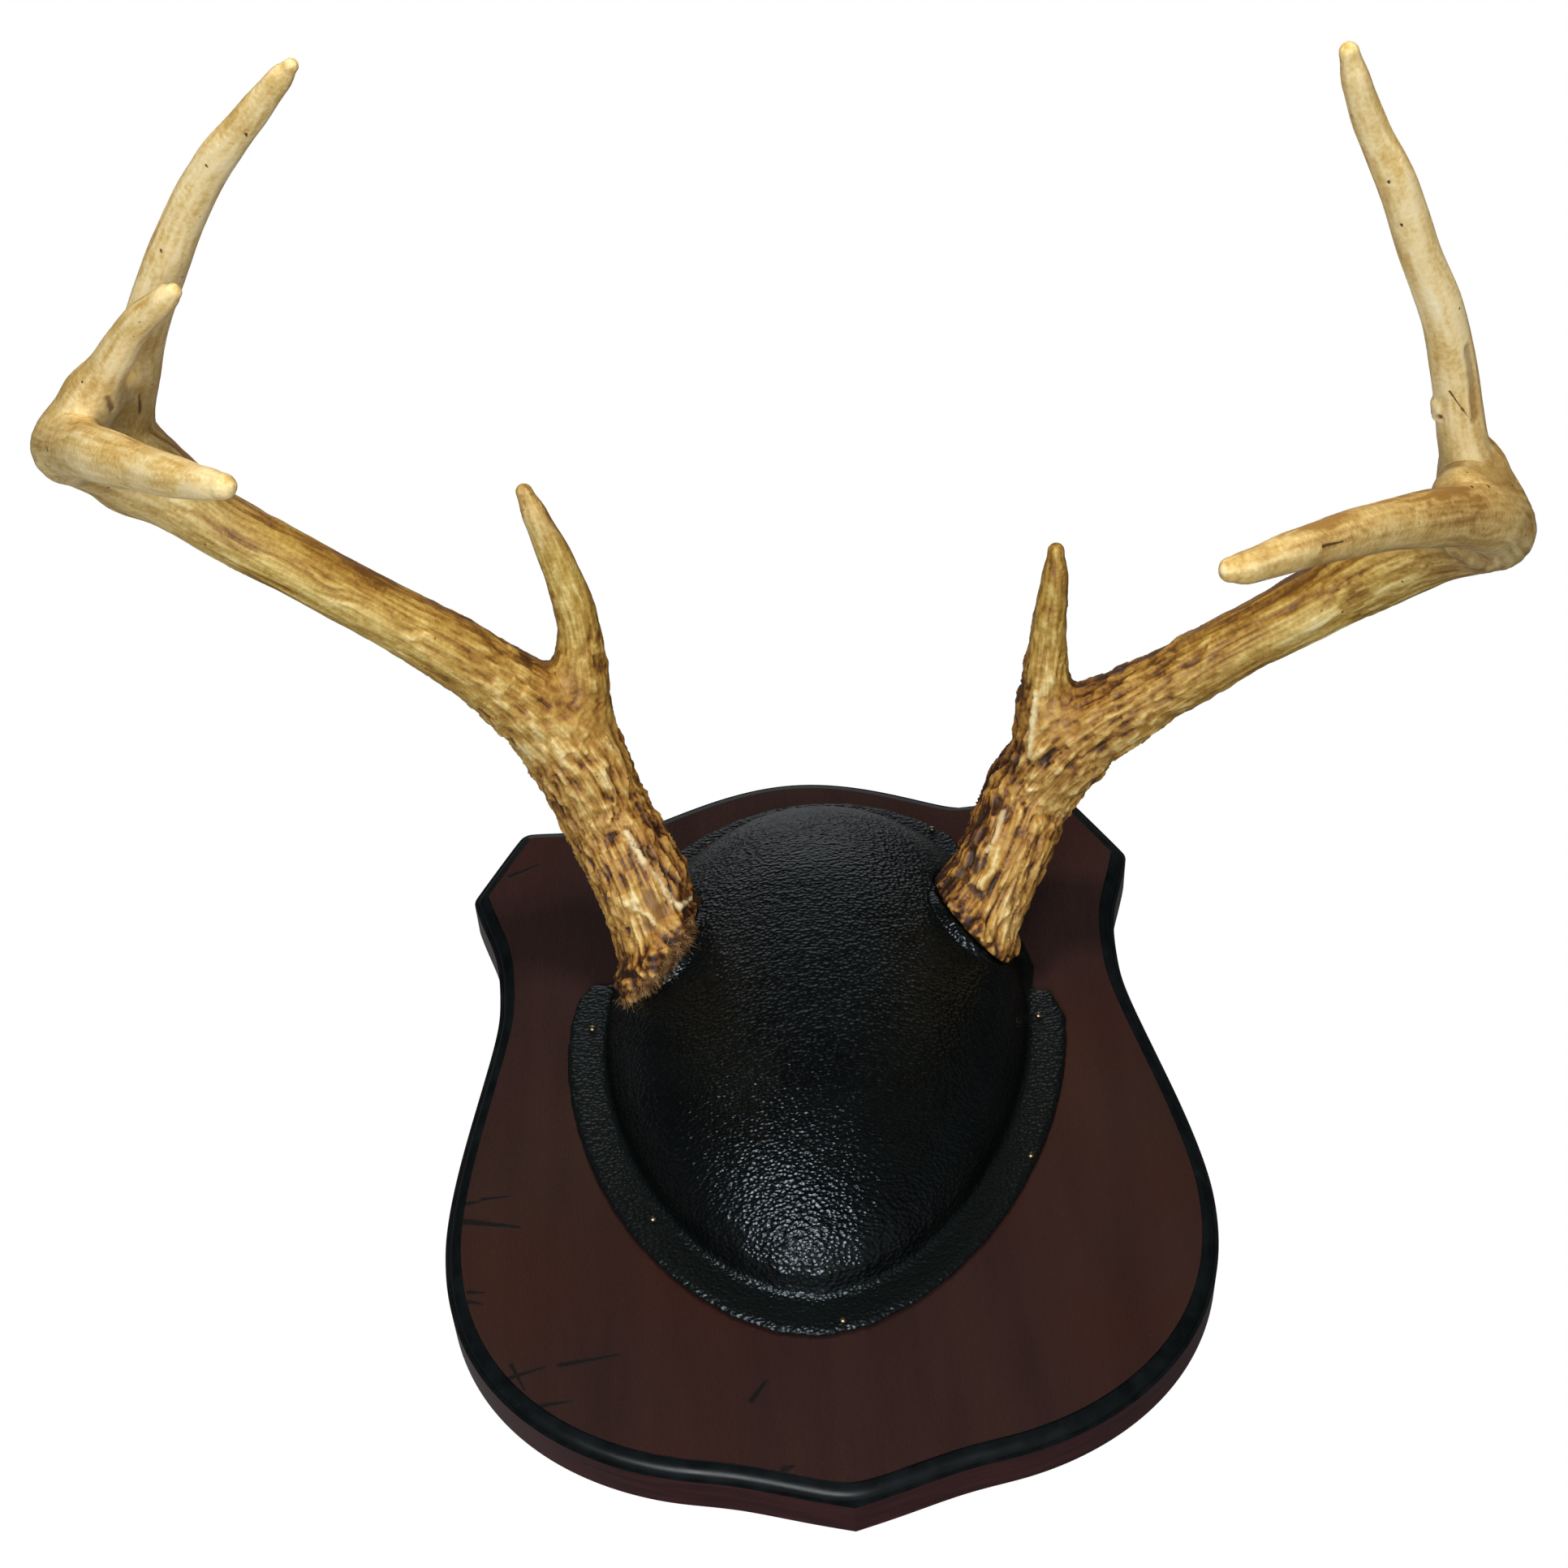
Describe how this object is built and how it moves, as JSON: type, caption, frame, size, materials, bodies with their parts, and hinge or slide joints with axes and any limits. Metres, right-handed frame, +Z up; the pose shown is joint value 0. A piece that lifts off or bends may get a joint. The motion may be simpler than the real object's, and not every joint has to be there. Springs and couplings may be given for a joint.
{
  "type": "antler mounting plaque",
  "caption": "Shield-shaped wall board with a moulded edge, a nailed leather cover domed over the skull plate, and two branching deer antlers standing out of it.",
  "frame": {"origin": "middle of the board's flat back, which lies against the wall", "axes": "+Z up the wall, +Y into the wall, so the face and the antlers look along -Y; +X to the right as seen from the front"},
  "size_m": [0.4435, 0.379, 0.305],
  "materials": {
    "stained_wood": "dark brown stained face, black painted moulding and red-brown edge, satin varnish",
    "black_leather": "fine-grained black leather, half gloss",
    "antler": "natural antler: furrowed tan and dark brown at the base, smooth ivory at the tips",
    "brass": "dull aged brass"
  },
  "bodies": {
    "root": {"plaque": "stained_wood", "skull_cover": "black_leather", "antler_left": "antler", "antler_right": "antler", "nail_1": "brass", "nail_2": "brass", "nail_3": "brass", "nail_4": "brass", "nail_5": "brass", "nail_6": "brass", "nail_7": "brass"}
  },
  "joints": []
}
